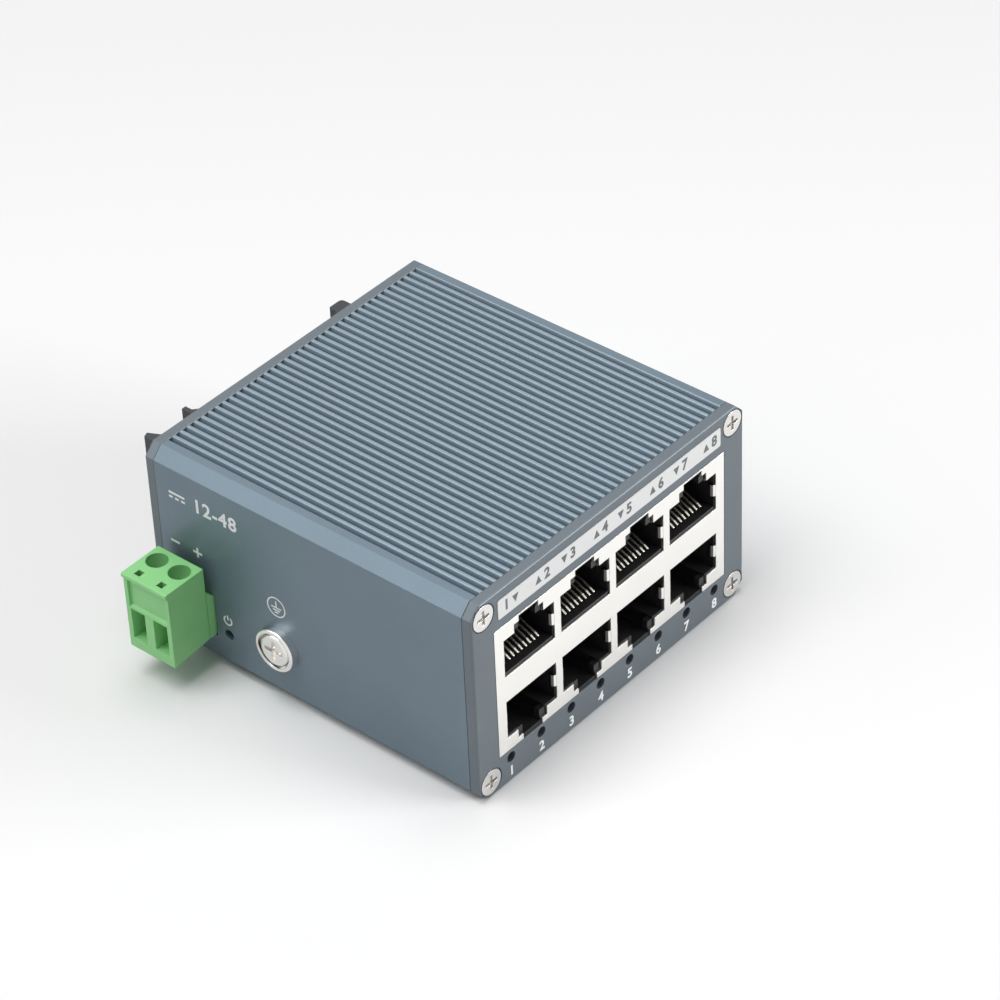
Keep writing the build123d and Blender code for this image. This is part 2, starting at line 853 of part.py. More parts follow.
with BuildPart() as header_pins:
    pin_path = [
        (header_mouth + pin_set_back, pin_z),
        (header_pin_x, pin_z),
        (header_pin_x, board_bottom - pin_tail),
    ]
    for y in pole_places:
        with BuildSketch(facing_front(y + pin_size / 2)):
            with BuildLine():
                Polyline(*strip_outline(pin_path, pin_size), close=True)
            make_face()
        extrude(amount=pin_size)

# Plug housing: screw shafts and probe slots on top, wire entries outside, nose in the header
nose_low = board_top + header_wall + nose_gap
nose_high = header_top - header_wall - nose_gap
nose_half = plug_width / 2 - header_cheek - nose_gap
chamber_left = shaft_x - cage_length / 2 - contact_leaf - 2 * cage_gap
chamber_right = shaft_x + cage_length / 2 + cage_gap
chamber_low = cage_foot - cage_gap
chamber_high = cage_foot + cage_height + cage_travel + cage_gap
socket_low = pin_z - pin_size / 2 - leaf_pin_gap - contact_leaf - cage_gap
bar_top = cage_foot + cage_height - cage_roof - cage_gap
socket_high = bar_top + cage_gap
socket_half = contact_strip_width / 2 + cage_gap
with BuildPart() as plug_housing:
    with BuildSketch(facing_front(header_high)):
        with BuildLine():
            Polyline(
                (plug_inner, plug_top),
                (plug_face - plug_lip, plug_top),
                (plug_face - plug_lip, plug_top - plug_lip_height),
                (plug_face, plug_top - plug_lip_height - plug_lip),
                (plug_face, plug_foot),
                (plug_inner, board_top),
                close=True,
            )
        make_face()
    extrude(amount=plug_width)
    lip_edges = plug_housing.faces().filter_by(Axis.X).sort_by(Axis.X)[0].edges()
    fillet(lip_edges.filter_by(Axis.Y), plug_lip_height * 0.45)
    add(
        block(
            (plug_inner, plug_y - nose_half, nose_low),
            (plug_inner + nose_length + nose_gap, plug_y + nose_half, nose_high),
        )
    )
    with BuildSketch(facing_front(header_high - panel_rim)):
        with BuildLine():
            Polyline(
                (plug_face - plug_lip, panel_top + panel_depth / 2),
                (plug_face + panel_depth, panel_top),
                (plug_face + panel_depth, panel_foot),
                (plug_face - plug_lip, panel_foot - panel_depth - plug_lip),
                close=True,
            )
        make_face()
    extrude(amount=plug_width - 2 * panel_rim, mode=Mode.SUBTRACT)
    with Locations(*[(shaft_x, y, plug_top) for y in pole_places]):
        Hole(screw_shaft_radius, plug_top - clamp_seat)
    with Locations(*[(shaft_x, y, clamp_seat) for y in pole_places]):
        Hole(clamp_screw_radius + clamp_thread_gap, clamp_seat - chamber_low)
    probe_x = left - probe_reach
    for y in pole_places:
        add(
            block(
                (probe_x - probe_size / 2, y - probe_size / 2, plug_top - probe_depth),
                (probe_x + probe_size / 2, y + probe_size / 2, plug_top),
            ),
            mode=Mode.SUBTRACT,
        )
        add(
            block(
                (chamber_left, y - cage_width / 2 - cage_gap, chamber_low),
                (chamber_right, y + cage_width / 2 + cage_gap, chamber_high),
            ),
            mode=Mode.SUBTRACT,
        )
        add(
            block(
                (chamber_right - cage_gap, y - socket_half, socket_low),
                (plug_inner + nose_length + nose_gap, y + socket_half, socket_high),
            ),
            mode=Mode.SUBTRACT,
        )
        throat_mid = cage_foot + cage_floor + entry_throat_height / 2
        with BuildSketch(facing_side(plug_face)):
            with Locations((y, (entry_foot + entry_top) / 2)):
                Rectangle(entry_width, entry_top - entry_foot)
        with BuildSketch(facing_side(chamber_left)):
            with Locations((y, throat_mid)):
                Rectangle(entry_throat_width, entry_throat_height)
        loft(mode=Mode.SUBTRACT)

# Plug contacts: two leaves that grip each pin, and the bar that the wire is clamped to
leaf_z = pin_size / 2 + leaf_pin_gap + contact_leaf / 2
bar_z = bar_top - contact_bar / 2
web_x = chamber_right + cage_gap + contact_leaf / 2
leaf_tip = plug_inner + nose_length - 2 * cage_gap
with BuildPart() as plug_contacts:
    for y in pole_places:
        with BuildSketch(facing_front(y + contact_strip_width / 2)):
            with BuildLine():
                Polyline(
                    *strip_outline(
                        [
                            (leaf_tip, pin_z - leaf_z),
                            (web_x, pin_z - leaf_z),
                            (web_x, pin_z + leaf_z),
                            (leaf_tip, pin_z + leaf_z),
                        ],
                        contact_leaf,
                    ),
                    close=True,
                )
            make_face()
            with BuildLine():
                Polyline(
                    (web_x - contact_leaf / 2, pin_z + leaf_z - contact_leaf / 2),
                    (web_x + contact_leaf / 2, pin_z + leaf_z - contact_leaf / 2),
                    (web_x + contact_leaf / 2, bar_top),
                    (shaft_x - cage_length / 2, bar_top),
                    (shaft_x - cage_length / 2, bar_top - contact_bar),
                    (web_x - contact_leaf / 2, bar_top - contact_bar),
                    close=True,
                )
            make_face()
        extrude(amount=contact_strip_width)


def clamp_screw(y):
    """Slotted clamp screw, captive under its seat in the plug."""
    with BuildPart() as screw:
        with BuildSketch(Plane.XY.offset(clamp_seat)):
            with Locations((shaft_x, y)):
                Circle(clamp_head_radius)
        extrude(amount=clamp_head_height)
        fillet(screw.faces().sort_by(Axis.Z)[-1].edges(), clamp_head_height / 4)
        with BuildSketch(Plane.XY.offset(clamp_seat)):
            with Locations((shaft_x, y)):
                Circle(clamp_screw_radius)
        extrude(amount=-(clamp_seat - bar_top - cage_gap))
        with BuildSketch(Plane.XY.offset(clamp_seat + clamp_head_height)):
            with Locations((shaft_x, y)):
                Rectangle(clamp_slot_width, 2 * clamp_head_radius)
        extrude(amount=-clamp_slot_depth, mode=Mode.SUBTRACT)
    return screw


def clamp_cage(y):
    """Box cage that the clamp screw lifts to press a wire against the contact bar."""
    with BuildPart() as cage:
        with BuildSketch(facing_side(shaft_x - cage_length / 2)):
            with Locations((y, cage_foot)):
                Rectangle(cage_width, cage_height, align=(Align.CENTER, Align.MIN))
            with Locations((y, cage_foot + cage_floor)):
                Rectangle(
                    cage_width - 2 * cage_side,
                    cage_height - cage_floor - cage_roof,
                    align=(Align.CENTER, Align.MIN),
                    mode=Mode.SUBTRACT,
                )
        extrude(amount=cage_length)
        with Locations((shaft_x, y, cage_foot + cage_height)):
            Hole(clamp_screw_radius + clamp_thread_gap, cage_roof + cage_gap)
    return cage


clamp_screw_plus = clamp_screw(pole_places[0])
clamp_screw_minus = clamp_screw(pole_places[1])
clamp_cage_plus = clamp_cage(pole_places[0])
clamp_cage_minus = clamp_cage(pole_places[1])

# Earth screw through the side wall, its head in a cup washer outside and its nut inside
ground_plane = Plane(origin=(left, ground_y, ground_height), x_dir=(0, -1, 0), z_dir=(-1, 0, 0))
with BuildPart() as ground_washer:
    with BuildSketch(ground_plane):
        Circle(ground_washer_radius)
    extrude(amount=ground_cup_height)
    fillet(ground_washer.faces().sort_by(Axis.X)[0].edges(), ground_cup_round)
    with BuildSketch(ground_plane.offset(ground_washer_thickness)):
        Circle(ground_cup_radius)
    extrude(amount=ground_cup_height, mode=Mode.SUBTRACT)
    with BuildSketch(ground_plane):
        Circle(ground_screw_radius + screw_clearance)
    extrude(amount=ground_cup_height, mode=Mode.SUBTRACT)

with BuildPart() as ground_screw:
    head_plane = ground_plane.offset(ground_washer_thickness)
    with BuildSketch(head_plane):
        Circle(ground_head_radius)
    extrude(amount=ground_head_height)
    fillet(ground_screw.faces().sort_by(Axis.X)[0].edges(), ground_head_round)
    with BuildSketch(head_plane.offset(ground_head_height)):
        Rectangle(ground_cross_length, ground_cross_width)
        Rectangle(ground_cross_width, ground_cross_length)
    extrude(amount=-ground_recess, mode=Mode.SUBTRACT)
    with BuildSketch(head_plane):
        Circle(ground_screw_radius)
    extrude(amount=-ground_shank)

with BuildPart() as ground_nut:
    with BuildSketch(ground_plane.offset(-side_wall)):
        RegularPolygon(ground_nut_flats / 2, 6, major_radius=False, rotation=0)
        Circle(ground_screw_radius + screw_clearance, mode=Mode.SUBTRACT)
    extrude(amount=-ground_nut_height)

# Rail bracket: base on the rear plate, fixed hook at one end, channel for the latch's tongue
clip_low = mid_height - clip_width / 2
clip_high = mid_height + clip_width / 2
with BuildPart() as rail_bracket:
    with BuildSketch(Plane.XY.offset(clip_low)):
        with BuildLine():
            Polyline(
                (bracket_end, rear),
                (hook_wall, rear),
                (hook_wall, hook_top),
                (hook_crown, hook_top),
                (hook_crown, lip_foot + hook_lip + lip_ramp),
                (hook_tip, lip_foot + hook_lip),
                (hook_tip, lip_foot),
                (hook_pocket, lip_foot),
                (hook_pocket, rail_face),
                (bracket_end, rail_face),
                close=True,
            )
        make_face()
    extrude(amount=clip_width)
    crown_edges = rail_bracket.edges().filter_by(Axis.Z).group_by(Axis.Y)[-1].sort_by(Axis.X)
    fillet(crown_edges[-1], hook_round)
    fillet(crown_edges[0], hook_round / 3)
    channel_half = tongue_width / 2 + latch_clearance
    add(
        block(
            (bracket_end, rear, mid_height - channel_half),
            (channel_end, rear + channel_depth, mid_height + channel_half),
        ),
        mode=Mode.SUBTRACT,
    )
    stop_left = window_left + latch_clearance
    spring_left = stop_left + stop_width
    pocket_half = window_width / 2 - latch_clearance
    add(
        block(
            (spring_left, rear, mid_height - pocket_half),
            (window_right, rear + 2 * spring_radius + 2 * spring_room, mid_height + pocket_half),
        ),
        mode=Mode.SUBTRACT,
    )
    add(
        block(
            (stop_left, rear + fit_gap, mid_height - pocket_half),
            (spring_left, rear + channel_depth, mid_height + pocket_half),
        )
    )
    for screw_x, screw_z in clip_screws:
        with Locations(Plane(origin=(screw_x, rail_face, mid_height + screw_z), z_dir=(0, 1, 0))):
            add(screw_seat(2 * clip_face), mode=Mode.SUBTRACT)

with BuildPart() as rail_bracket_screws:
    bracket_screw = countersunk_screw(clip_screw_length)
    for screw_x, screw_z in clip_screws:
        with Locations(Plane(origin=(screw_x, rail_face, mid_height + screw_z), z_dir=(0, 1, 0))):
            add(bracket_screw)

# Sliding latch: head with the sprung hook and the pull edge, tongue held in the bracket's channel
latch_face = rail_face - latch_face_drop
latch_low = rear + latch_clearance
latch_right = bracket_end - latch_clearance
hook_inner = latch_hook_wall + latch_hook_sheet
with BuildPart() as rail_latch:
    with BuildSketch(Plane.XY.offset(clip_low)):
        with BuildLine():
            Polyline(
                (latch_end, latch_low),
                (latch_right, latch_low),
                (latch_right, latch_face),
                (hook_inner, latch_face),
                (hook_inner, lip_foot),
                (hook_inner + latch_lip, lip_foot),
                (hook_inner + latch_lip, lip_foot + hook_lip),
                (hook_inner, lip_foot + hook_lip + lip_ramp),
                (hook_inner, hook_top),
                (latch_hook_wall, hook_top),
                (latch_hook_wall, latch_face),
                (latch_end + pull_land + pull_slope + pull_foot, latch_face),
                (latch_end + pull_land + pull_slope, hook_top - 2 * pull_slope),
                (latch_end + pull_land, hook_top),
                (latch_end, hook_top - pull_land / 3),
                close=True,
            )
        make_face()
    extrude(amount=clip_width)
    tongue_low = mid_height - tongue_width / 2
    tongue_high = mid_height + tongue_width / 2
    add(
        block(
            (latch_right, latch_low, tongue_low),
            (tongue_end, latch_low + tongue_thickness, tongue_high),
        )
    )
    add(
        block(
            (window_left, latch_low, mid_height - window_width / 2),
            (window_right, latch_low + tongue_thickness, mid_height + window_width / 2),
        ),
        mode=Mode.SUBTRACT,
    )
    slot_middle = (latch_hook_wall + latch_end + pull_land + pull_slope + pull_foot) / 2
    add(
        block(
            (slot_middle - driver_slot[0] / 4, latch_low, mid_height - driver_slot[1] / 2),
            (slot_middle + driver_slot[0] / 4, latch_face, mid_height + driver_slot[1] / 2),
        ),
        mode=Mode.SUBTRACT,
    )

# Coil spring between the bracket's stop and the end of the tongue's window
spring_length = window_right - spring_left - spring_wire - 2 * spring_room
spring_y = rear + spring_radius + spring_room
with BuildPart() as latch_spring:
    spring_start = (spring_left + spring_room + spring_wire / 2, spring_y, mid_height)
    with BuildLine():
        coil = Helix(
            spring_pitch,
            spring_length,
            spring_radius - spring_wire / 2,
            center=spring_start,
            direction=(1, 0, 0),
        )
    with BuildSketch(Plane(origin=coil @ 0, z_dir=coil % 0)):
        Circle(spring_wire / 2)
    sweep()

pieces = {
    "housing": housing,
    "front_plate": front_plate,
    "rear_plate": rear_plate,
    "front_plate_screws": front_plate_screws,
    "rear_plate_screws": rear_plate_screws,
    "port_label": port_label,
    "jack_shield": jack_shield,
    "jack_insert": jack_insert,
    "upper_port_contacts": upper_port_contacts,
    "lower_port_contacts": lower_port_contacts,
    "main_board": main_board,
    "port_lamps": port_lamps,
    "power_lamp": power_lamp,
    "switch_chip": switch_chip,
    "thermal_pad": thermal_pad,
    "port_transformers": port_transformers,
    "buck_inductor": buck_inductor,
    "input_capacitors": input_capacitors,
    "buck_regulator": buck_regulator,
    "input_diodes": input_diodes,
    "clock_crystal": clock_crystal,
    "ceramic_capacitors": ceramic_capacitors,
    "terminal_header": terminal_header,
    "header_pins": header_pins,
    "plug_housing": plug_housing,
    "plug_contacts": plug_contacts,
    "clamp_screw_plus": clamp_screw_plus,
    "clamp_screw_minus": clamp_screw_minus,
    "clamp_cage_plus": clamp_cage_plus,
    "clamp_cage_minus": clamp_cage_minus,
    "ground_screw": ground_screw,
    "ground_washer": ground_washer,
    "ground_nut": ground_nut,
    "rail_bracket": rail_bracket,
    "rail_bracket_screws": rail_bracket_screws,
    "rail_latch": rail_latch,
    "latch_spring": latch_spring,
}

os.makedirs("parts", exist_ok=True)
for name, piece in pieces.items():
    piece.part.label = name
    export_step(piece.part, f"parts/{name}.step")
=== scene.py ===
import math

import bmesh
import bpy
from mathutils import Matrix, Vector


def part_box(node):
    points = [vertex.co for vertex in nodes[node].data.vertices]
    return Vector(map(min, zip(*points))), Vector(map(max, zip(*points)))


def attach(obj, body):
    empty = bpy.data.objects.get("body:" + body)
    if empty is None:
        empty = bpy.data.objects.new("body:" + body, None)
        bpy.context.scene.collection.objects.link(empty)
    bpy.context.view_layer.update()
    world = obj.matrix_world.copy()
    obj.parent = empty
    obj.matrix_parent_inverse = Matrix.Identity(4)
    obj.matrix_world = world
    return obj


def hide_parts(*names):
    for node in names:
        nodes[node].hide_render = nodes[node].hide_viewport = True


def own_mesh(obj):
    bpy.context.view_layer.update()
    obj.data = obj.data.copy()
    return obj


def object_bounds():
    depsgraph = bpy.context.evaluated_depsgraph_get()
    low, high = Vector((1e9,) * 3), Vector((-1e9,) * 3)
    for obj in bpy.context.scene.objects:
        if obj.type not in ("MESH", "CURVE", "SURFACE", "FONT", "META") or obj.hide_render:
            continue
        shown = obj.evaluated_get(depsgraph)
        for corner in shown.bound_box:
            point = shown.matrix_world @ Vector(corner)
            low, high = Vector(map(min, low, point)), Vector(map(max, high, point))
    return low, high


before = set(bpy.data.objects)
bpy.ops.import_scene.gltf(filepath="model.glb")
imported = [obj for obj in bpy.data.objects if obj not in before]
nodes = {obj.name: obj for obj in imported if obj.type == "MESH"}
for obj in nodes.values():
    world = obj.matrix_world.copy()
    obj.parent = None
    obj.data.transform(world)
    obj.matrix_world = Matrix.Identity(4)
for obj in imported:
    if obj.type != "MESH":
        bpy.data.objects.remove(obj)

cad_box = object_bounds()

# Ribbed sleeve of the case. One aluminium extrusion, sandblasted and painted satin blue-grey, so a
# fine grain catches the light, with a painted highlight, a lighter colour, on the rib crests. The end
# plates close it and four corner screws at each end hold it.
MM = 0.001


class Term:
    """A socket or number in a material, so that shader maths reads as an expression."""

    def __init__(self, finish, socket):
        self.finish = finish
        self.socket = socket

    def maths(self, operation, *values):
        return self.finish.node("ShaderNodeMath", {"operation": operation}, dict(enumerate(values)))

    def __add__(self, other):
        return self.maths("ADD", self, other)

    def __radd__(self, other):
        return self.maths("ADD", other, self)

    def __sub__(self, other):
        return self.maths("SUBTRACT", self, other)

    def __mul__(self, other):
        return self.maths("MULTIPLY", self, other)

    def __truediv__(self, other):
        return self.maths("DIVIDE", self, other)

    def __abs__(self):
        return self.maths("ABSOLUTE", self)

    def __gt__(self, other):
        return self.maths("GREATER_THAN", self, other)

    def __lt__(self, other):
        return self.maths("LESS_THAN", self, other)


class Finish:
    """One material. Constants go on the shader's own sockets; node() adds everything else."""

    def __init__(self, name, colour, **constants):
        self.material = bpy.data.materials.new(name)
        self.material.use_nodes = True
        self.tree = self.material.node_tree
        self.shader = self.tree.nodes["Principled BSDF"]
        self.material.diffuse_color = (*colour, 1.0)
        self.shader.inputs["Base Color"].default_value = (*colour, 1.0)
        for word, value in constants.items():
            socket = word.replace("_", " ").title().replace("Ior", "IOR")
            self.shader.inputs[socket].default_value = value

    def node(self, kind, settings=None, sockets=None, output=0):
        made = self.tree.nodes.new(kind)
        for name, value in (settings or {}).items():
            setattr(made, name, value)
        for name, value in (sockets or {}).items():
            if isinstance(value, Term):
                self.tree.links.new(value.socket, made.inputs[name])
            elif made.inputs[name].type == "RGBA":
                made.inputs[name].default_value = (*value, 1.0)
            else:
                made.inputs[name].default_value = value
        return Term(self, made.outputs[output])

    def place(self):
        return self.node("ShaderNodeTexCoord", output="Object")

    def along(self, axis):
        """Place on the object along one axis: 0 across, 1 from front to back, 2 up."""
        return self.node("ShaderNodeSeparateXYZ", {}, {"Vector": self.place()}, output=axis)

    def noise(self, scale, detail=3.0):
        sockets = {"Vector": self.place(), "Scale": scale, "Detail": detail, "Roughness": 0.5}
        return self.node("ShaderNodeTexNoise", {}, sockets)

    def mix(self, factor, one, other):
        sockets = {"Factor": factor, 6: one, 7: other}
        return self.node("ShaderNodeMix", {"data_type": "RGBA"}, sockets, output=2)

    def feed(self, socket, term):
        self.tree.links.new(term.socket, self.shader.inputs[socket])

    def grain(self, height, distance, edge=0.0):
        sockets = {"Height": height, "Distance": distance, "Strength": 1.0}
        if edge:
            sockets["Normal"] = self.node("ShaderNodeBevel", {"samples": 6}, {"Radius": edge})
        self.feed("Normal", self.node("ShaderNodeBump", {}, sockets))


def dress(node, finish):
    """Gives a CAD node its finish."""
    slots = nodes[node].data.materials
    slots.clear()
    slots.append(finish.material)


def satin_paint(name, dark, light, roughness):
    """Satin paint over blasted aluminium: fine grain, faint mottling, softened edges."""
    mottle_scale = 90.0
    speck_scale = 2600.0
    speck_height = 0.016 * MM
    edge_softening = 0.12 * MM
    paint = Finish(name, light, metallic=0.45)
    mottle = paint.noise(mottle_scale, 2.0)
    speck = paint.noise(speck_scale, 2.0)
    paint.body_colour = paint.mix(mottle * 0.5 + speck * 0.5, dark, light)
    paint.feed("Base Color", paint.body_colour)
    paint.feed("Roughness", roughness + (speck - 0.5) * 0.16)
    paint.grain(speck, speck_height, edge=edge_softening)
    return paint


def crest_mask(finish, part, depth, side_margin):
    """Where the painted crest highlight goes: 1 on the crests of the ribs above and below, 0 in the
    grooves and on the side margins.
    """
    low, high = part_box(part)
    middle, half = (low + high) / 2, (high - low) / 2
    fade = depth * 0.6
    out = abs(finish.along(2) - middle.z)
    aside = abs(finish.along(0) - middle.x)
    rise = finish.node("ShaderNodeClamp", {}, {"Value": (out - (half.z - depth)) / fade})
    return rise * (aside < half.x - side_margin)


case_dark = (0.116, 0.158, 0.192)
case_light = (0.166, 0.224, 0.271)
# Lighter colour for the rib crests: a painted highlight for the light that the rounded crests catch.
crest_painted_highlight = (0.215, 0.274, 0.320)
crest_depth = 0.7 * MM
rib_side_margin = 3.6 * MM
case_paint = satin_paint("case_satin_paint", case_dark, case_light, 0.4)
# The mask lays the painted highlight colour over the paint on the rib crests.
painted_highlight_on_crest = crest_mask(case_paint, "housing", crest_depth, rib_side_margin)
case_paint.feed("Base Color", case_paint.mix(painted_highlight_on_crest, case_paint.body_colour, crest_painted_highlight))
dress("housing", case_paint)

# End plates. Two flat aluminium plates, painted like the sleeve but a shade darker and smoother,
# countersunk at the corners and screwed to the sleeve's channels.
plate_paint = satin_paint("plate_satin_paint", (0.109, 0.131, 0.149), (0.149, 0.177, 0.199), 0.46)
for plate in ("front_plate", "rear_plate"):
    dress(plate, plate_paint)

# Corner screws. Small flat-head steel screws with cross recesses, nickel-plated and bright, seated
# in the plates' countersinks.
def bright_plate(name, colour, roughness, brush=0.06, metallic=1.0):
    """Bright plating with a faint, fine brush that breaks up its reflections."""
    streak_scale = 1800.0
    cloud_scale = 160.0
    streak_height = 0.002 * MM
    edge_softening = 0.08 * MM
    plating = Finish(name, colour, metallic=metallic)
    streak = plating.noise(streak_scale, 3.0)
    cloud = plating.noise(cloud_scale, 2.0)
    plating.feed("Roughness", roughness + (streak - 0.5) * brush + (cloud - 0.5) * brush)
    plating.grain(streak, streak_height, edge=edge_softening)
    return plating


nickel = bright_plate("bright_nickel", (0.80, 0.785, 0.76), 0.2)
for screws in ("front_plate_screws", "rear_plate_screws"):
    dress(screws, nickel)

# Shield of the port block. Thin nickel-plated sheet folded round the moulded insert, with side
# fingers that touch the plugs. It fills the window of the front plate. Behind its front face the sheet
# is painted dark, a painted shade for the inside of the ports.
shield_face = (0.92, 0.905, 0.87)
# Dark colour for the sheet behind its front face: painted shade for the inside of the ports.
shield_painted_shade = (0.13, 0.127, 0.12)
shield_face_depth = 0.3 * MM
shield_metal = bright_plate("shield_sheet", shield_face, 0.32, brush=0.1, metallic=0.9)
shield_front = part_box("jack_shield")[0].y
# Past the front face the sheet takes the painted shade colour.
in_painted_shade = shield_metal.along(1) > shield_front + shield_face_depth
shield_metal.feed("Base Color", shield_metal.mix(in_painted_shade, shield_face, shield_painted_shade))
dress("jack_shield", shield_metal)

# Insert of the port block. One black moulding with the eight stepped cavities, pushed into the
# shield before both are soldered to the board.
SKIN_SCALE = 1500.0
SKIN_HEIGHT = 0.004 * MM


def moulded(name, colour, roughness, edge=0.06):
    """Moulded plastic with the fine texture of its tool."""
    plastic = Finish(name, colour, ior=1.5)
    skin = plastic.noise(SKIN_SCALE, 3.0)
    plastic.feed("Roughness", roughness + (skin - 0.5) * 0.2)
    plastic.grain(skin, SKIN_HEIGHT, edge=edge * MM)
    return plastic


black_plastic = moulded("black_moulding", (0.012, 0.012, 0.013), 0.42)
dress("jack_insert", black_plastic)

# Spring contacts of the ports. Stamped phosphor bronze wires, gold over nickel, eight in each port,
# bent up from the cavity's floor and soldered through the board.
contact_gold = bright_plate("contact_gold", (0.66, 0.635, 0.565), 0.26)
for row in ("upper_port_contacts", "lower_port_contacts"):
    dress(row, contact_gold)

# Numbered strip over the ports. Printed light grey film stuck to the front plate. Each number has
# a small triangle that points to the row of its port.
label_film = moulded("label_film", (0.585, 0.592, 0.588), 0.42, edge=0.04)
dress("port_label", label_film)


def ink(name, colour, slot, roughness=0.5):
    """Flat screen-printing ink, which also keeps the name of a slot."""
    print_ink = Finish(name, colour)
    print_ink.slot = slot
    coverage = print_ink.noise(3000.0, 2.0)
    print_ink.feed("Roughness", roughness + (coverage - 0.5) * 0.2)
    return print_ink


INK_DEPTH = 0.02 * MM
grey_ink = ink("strip_ink", (0.10, 0.11, 0.12), "black_plastic")


def facing(origin, across, up):
    """Matrix that lays a flat drawing on a face, from its origin and two directions."""
    across, up = Vector(across), Vector(up)
    out = across.cross(up)
    turn = Matrix((across, up, out)).transposed().to_4x4()
    return Matrix.Translation(origin) @ turn


def print_on_case(name, mesh, finish):
    """Turns a mesh into a printed piece that rides on the case, in the ink's finish."""
    mesh.materials.clear()
    mesh.materials.append(finish.material)
    made = bpy.data.objects.new(name, mesh)
    bpy.context.scene.collection.objects.link(made)
    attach(made, "case")


def mark_mesh(name, drawing, onto, finish):
    """One printed mark: a list of flat outlines, laid on a face and given the ink's thickness."""
    form = bmesh.new()
    for outline in drawing:
        low = [form.verts.new(onto @ Vector((x, y, 0.0))) for x, y in outline]
        high = [form.verts.new(onto @ Vector((x, y, INK_DEPTH))) for x, y in outline]
        form.faces.new(high)
        form.faces.new(low[::-1])
        for i in range(len(outline)):
            j = (i + 1) % len(outline)
            form.faces.new((low[i], low[j], high[j], high[i]))
    mesh = bpy.data.meshes.new(name)
    form.to_mesh(mesh)
    form.free()
    print_on_case(name, mesh, finish)


def stroke(points, width):
    """Outline pieces of a line of even width with square ends: one quad per stretch."""
    pieces = []
    for (x0, y0), (x1, y1) in zip(points, points[1:]):
        along = Vector((x1 - x0, y1 - y0)).normalized() * (width / 2)
        side = Vector((-along.y, along.x))
        start, end = Vector((x0, y0)) - along, Vector((x1, y1)) + along
        pieces.append([tuple(start - side), tuple(end - side), tuple(end + side), tuple(start + side)])
    return pieces


def ring(radius, width, start=0.0, sweep=2 * math.pi, steps=48):
    """Outline pieces of a ring round the origin, or of an arc of one."""
    pieces = []
    inner, outer = radius - width / 2, radius + width / 2
    for i in range(steps):
        a = start + sweep * i / steps
        b = start + sweep * (i + 1) / steps
        corners = ((inner, b), (inner, a), (outer, a), (outer, b))
        pieces.append([(r * math.cos(t), r * math.sin(t)) for r, t in corners])
    return pieces


FIGURE_SHARE = 0.7
FIGURE_SPACING = 1.12


def words(name, text, height, onto, finish, bold):
    """Printed figures, centred on the origin of their face; bold is a share of their height."""
    font = bpy.data.curves.new(name, "FONT")
    font.body = text
    font.align_x = "CENTER"
    font.align_y = "CENTER"
    font.size = height / FIGURE_SHARE
    font.resolution_u = 3
    font.offset = bold * height
    font.space_character = FIGURE_SPACING
    font.extrude = INK_DEPTH / 2
    written = bpy.data.objects.new(name, font)
    bpy.context.scene.collection.objects.link(written)
    bpy.context.view_layer.update()
    mesh = bpy.data.meshes.new_from_object(written)
    bpy.data.objects.remove(written)
    mesh.transform(Matrix.Translation((0, 0, INK_DEPTH / 2)))
    mesh.transform(onto)
    print_on_case(name, mesh, finish)


label_low, label_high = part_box("port_label")
strip_face = label_low.y
strip_middle = (label_low.z + label_high.z) / 2
strip_digit = 1.95 * MM
strip_arrow = 1.5 * MM
strip_pair = 2.15 * MM
strip_places = (3.15, 10.9, 17.3, 25.4, 31.5, 39.7, 45.9, 53.75)


def strip_at(from_left):
    """Plane of a mark on the strip, by its distance from the strip's left end."""
    return facing((label_low.x + from_left, strip_face, strip_middle), (1, 0, 0), (0, 0, 1))


half_arrow = strip_arrow / 2
for i, place in enumerate(strip_places):
    down = i % 2 == 0
    tip, foot = (-half_arrow, half_arrow) if down else (half_arrow, -half_arrow)
    triangle = [(-half_arrow, foot), (half_arrow, foot), (0.0, tip)]
    if down:
        triangle.reverse()
    arrow_side = 1 if i == 0 else -1
    arrow_place = place * MM + arrow_side * strip_pair / 2
    digit_place = place * MM - arrow_side * strip_pair / 2
    mark_mesh(f"strip_arrow_{i + 1}", [triangle], strip_at(arrow_place), grey_ink)
    words(f"strip_number_{i + 1}", str(i + 1), strip_digit, strip_at(digit_place), grey_ink, bold=0.05)

# Figures under the lamp holes. White ink, screen-printed on the front plate, one for each port.
white_ink = ink("white_ink", (0.72, 0.74, 0.74), "label_white")
plate_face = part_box("front_plate")[0].y
lamps_low, lamps_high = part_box("port_lamps")
lamp_count = 8
lamp_diameter = 1.8 * MM
lamp_pitch = (lamps_high.x - lamps_low.x - lamp_diameter) / (lamp_count - 1)
figure_height = 1.85 * MM
figure_drop = 2.9 * MM
for i in range(lamp_count):
    x = (i - (lamp_count - 1) / 2) * lamp_pitch
    below = (x, plate_face, (lamps_low.z + lamps_high.z) / 2 - figure_drop)
    plane = facing(below, (1, 0, 0), (0, 0, 1))
    words(f"lamp_number_{i + 1}", str(i + 1), figure_height, plane, white_ink, bold=0.04)

# Signs on the terminal side. White ink on the sleeve: voltage range over the terminal, pole signs,
# a power sign over its lamp and the earth sign over the earth screw.
sleeve_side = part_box("housing")[0].x
plug_low, plug_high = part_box("plug_housing")
screw_low, screw_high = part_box("ground_screw")
lamp_low, lamp_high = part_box("power_lamp")


def side_at(y, z):
    """Plane of a mark on the terminal side, which is read from the left."""
    return facing((sleeve_side, y, z), (0, -1, 0), (0, 0, 1))


